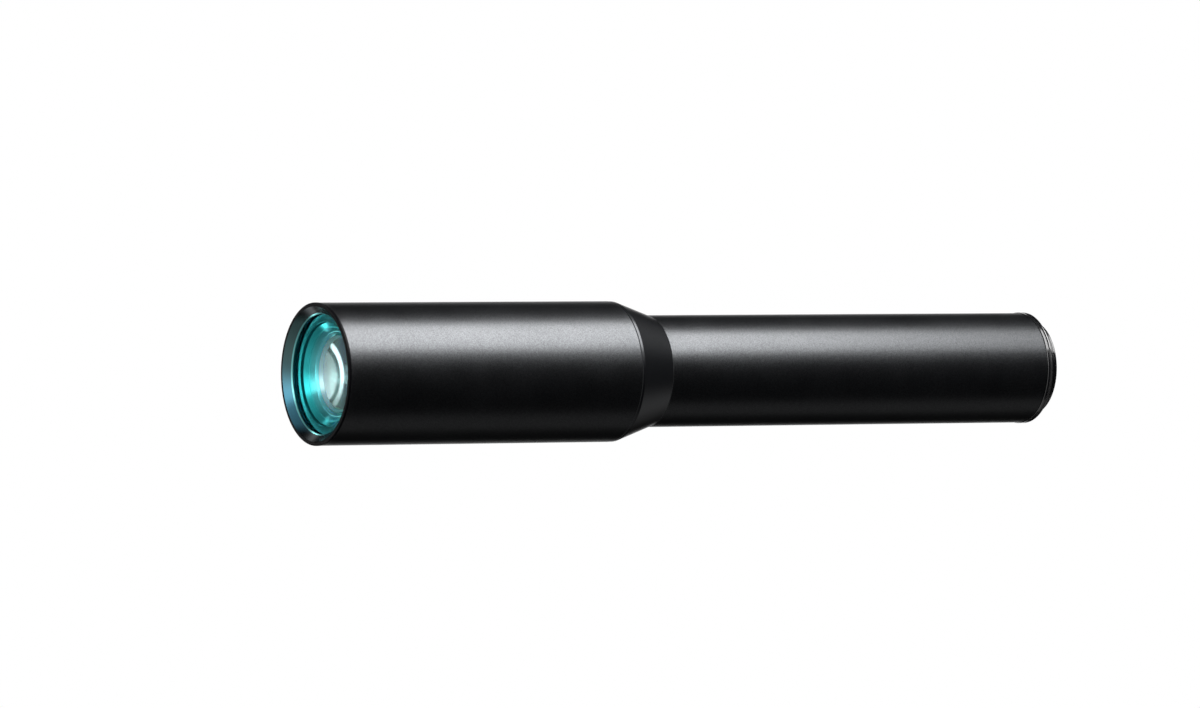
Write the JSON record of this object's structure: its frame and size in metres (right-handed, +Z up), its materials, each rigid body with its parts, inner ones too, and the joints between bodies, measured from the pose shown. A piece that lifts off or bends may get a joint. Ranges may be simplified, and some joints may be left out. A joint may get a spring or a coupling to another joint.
{
  "type": "telecentric lens",
  "caption": "Long two-sided telecentric lens: thick front barrel, straight taper, thinner rear barrel, stepped objective and a threaded camera spigot.",
  "frame": {"origin": "centre of the camera flange face, on the optical axis", "axes": "+X along the optical axis, from the objective to the camera; +Z up"},
  "size_m": [0.3574, 0.0602, 0.0602],
  "materials": {
    "satin_black": "satin black anodised",
    "taper_black": "fine satin black anodised",
    "gloss_black": "bright turned, black anodised",
    "inner_black": "blackened inside",
    "stop_steel": "blackened steel foil",
    "coated_glass": "polished, blue-green coating",
    "optical_glass": "polished"
  },
  "bodies": {
    "root": {"front_ring": "gloss_black", "front_lens": "coated_glass", "step_ring": "inner_black", "front_cell": "inner_black", "front_crown": "coated_glass", "front_flint": "optical_glass", "front_lock_ring": "inner_black", "front_barrel": "satin_black", "front_baffle": "inner_black", "taper_adapter": "taper_black", "aperture_stop": "stop_steel", "stop_lock_ring": "inner_black", "rear_baffle": "inner_black", "rear_cell": "inner_black", "rear_flint": "optical_glass", "rear_crown": "optical_glass", "rear_spacer": "inner_black", "rear_singlet": "optical_glass", "rear_lock_ring": "inner_black", "rear_barrel": "satin_black", "rear_ring": "gloss_black", "camera_mount": "gloss_black", "field_lens": "coated_glass", "field_lock_ring": "inner_black"}
  },
  "joints": []
}
